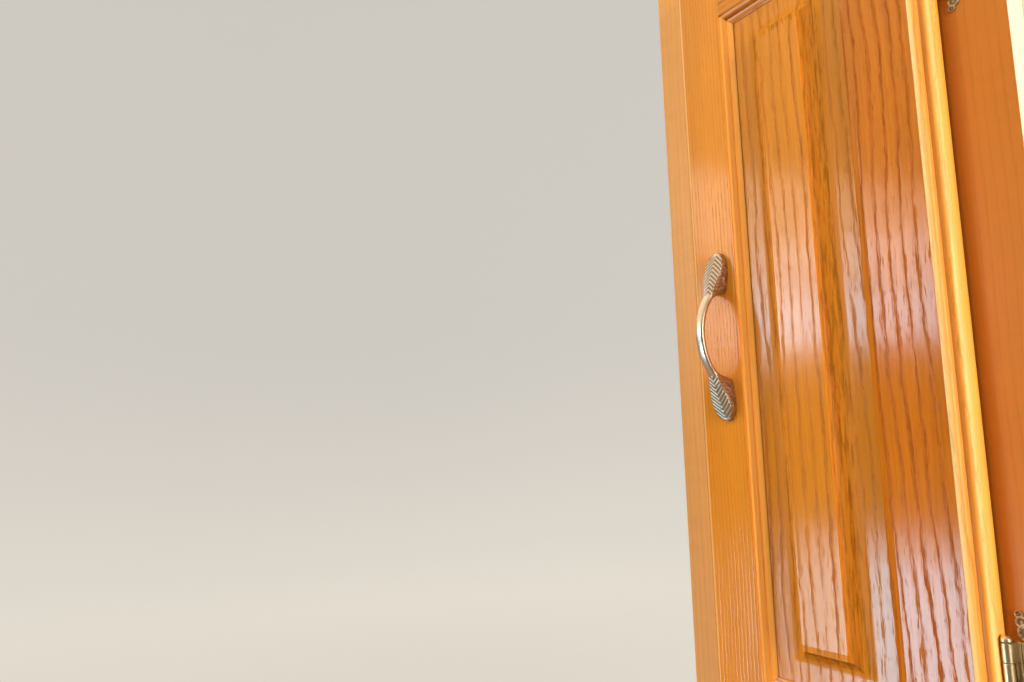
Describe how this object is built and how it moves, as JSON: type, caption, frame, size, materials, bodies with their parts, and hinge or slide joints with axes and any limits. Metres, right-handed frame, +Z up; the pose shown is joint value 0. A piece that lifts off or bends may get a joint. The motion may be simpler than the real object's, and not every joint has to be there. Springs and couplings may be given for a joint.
{
  "type": "tall motorhome storage cabinet",
  "caption": "Tall narrow floor-to-ceiling oak storage cabinet of a motorhome: face frame, raised-panel overlay doors on exposed-barrel hinges, arched pulls and shelves inside.",
  "frame": {"origin": "bottom centre of the whole cabinet on the floor, doors and handles counted in", "axes": "+X to the right as seen from the front, +Y into the cabinet towards the wall, +Z up"},
  "size_m": [0.305, 0.5566, 1.98],
  "materials": {
    "door_frame_oak": "semi-gloss lacquered oak, warm honey stain",
    "door_panel_oak": "semi-gloss lacquered oak, glued boards, warm honey stain",
    "face_frame_oak": "satin oak face frame, warm honey stain",
    "side_ply": "satin printed oak-look plywood",
    "inner_ply": "thin clear-coated light plywood",
    "strip_pine": "bare pine",
    "handle_metal": "antique pewter with brown patina in the grooves",
    "hinge_metal": "antique brass",
    "screw_steel": "zinc-plated steel",
    "strike_steel": "zinc-plated steel",
    "catch_plastic": "off-white moulded plastic",
    "bumper_rubber": "clear soft pads"
  },
  "bodies": {
    "cabinet": {"left_side_panel": "side_ply", "right_side_panel": "side_ply", "back_panel": "inner_ply", "top_panel": "inner_ply", "floor_deck": "inner_ply", "middle_deck": "inner_ply", "top_nailer": "strip_pine", "bottom_nailer": "strip_pine", "upper_compartment_high_shelf": "inner_ply", "upper_compartment_low_shelf": "inner_ply", "lower_compartment_high_shelf": "inner_ply", "lower_compartment_low_shelf": "inner_ply", "shelf_front_rails": "face_frame_oak", "shelf_cleats": "strip_pine", "deck_cleats": "strip_pine", "face_frame_left_stile": "face_frame_oak", "face_frame_right_stile": "face_frame_oak", "face_frame_top_rail": "face_frame_oak", "face_frame_middle_rail": "face_frame_oak", "face_frame_bottom_rail": "face_frame_oak", "upper_door_catch": "catch_plastic", "lower_door_catch": "catch_plastic", "upper_door_hinge_pins": "hinge_metal", "lower_door_hinge_pins": "hinge_metal", "upper_door_bottom_hinge_frame_leaf": "hinge_metal", "upper_door_top_hinge_frame_leaf": "hinge_metal", "lower_door_bottom_hinge_frame_leaf": "hinge_metal", "lower_door_middle_hinge_frame_leaf": "hinge_metal", "lower_door_top_hinge_frame_leaf": "hinge_metal"},
    "upper_door": {"upper_door_left_stile": "door_frame_oak", "upper_door_right_stile": "door_frame_oak", "upper_door_bottom_rail": "door_frame_oak", "upper_door_top_rail": "door_frame_oak", "upper_door_panel": "door_panel_oak", "upper_door_handle": "handle_metal", "upper_door_handle_screws": "screw_steel", "upper_door_bottom_hinge_door_leaf": "hinge_metal", "upper_door_top_hinge_door_leaf": "hinge_metal", "upper_door_strike_plate": "strike_steel", "upper_door_bumpers": "bumper_rubber"},
    "lower_door": {"lower_door_left_stile": "door_frame_oak", "lower_door_right_stile": "door_frame_oak", "lower_door_bottom_rail": "door_frame_oak", "lower_door_top_rail": "door_frame_oak", "lower_door_middle_rail": "door_frame_oak", "lower_door_bottom_panel": "door_panel_oak", "lower_door_top_panel": "door_panel_oak", "lower_door_handle": "handle_metal", "lower_door_handle_screws": "screw_steel", "lower_door_bottom_hinge_door_leaf": "hinge_metal", "lower_door_middle_hinge_door_leaf": "hinge_metal", "lower_door_top_hinge_door_leaf": "hinge_metal", "lower_door_strike_plate": "strike_steel", "lower_door_bumpers": "bumper_rubber"}
  },
  "joints": [
    {"name": "upper_door_hinge", "type": "hinge", "parent": "cabinet", "child": "upper_door", "pos_m": [0.1154, -0.2375, 1.519], "axis": [0, 0, 1], "range_deg": [0, 110]},
    {"name": "lower_door_hinge", "type": "hinge", "parent": "cabinet", "child": "lower_door", "pos_m": [0.1154, -0.2375, 0.635], "axis": [0, 0, 1], "range_deg": [0, 110]}
  ]
}
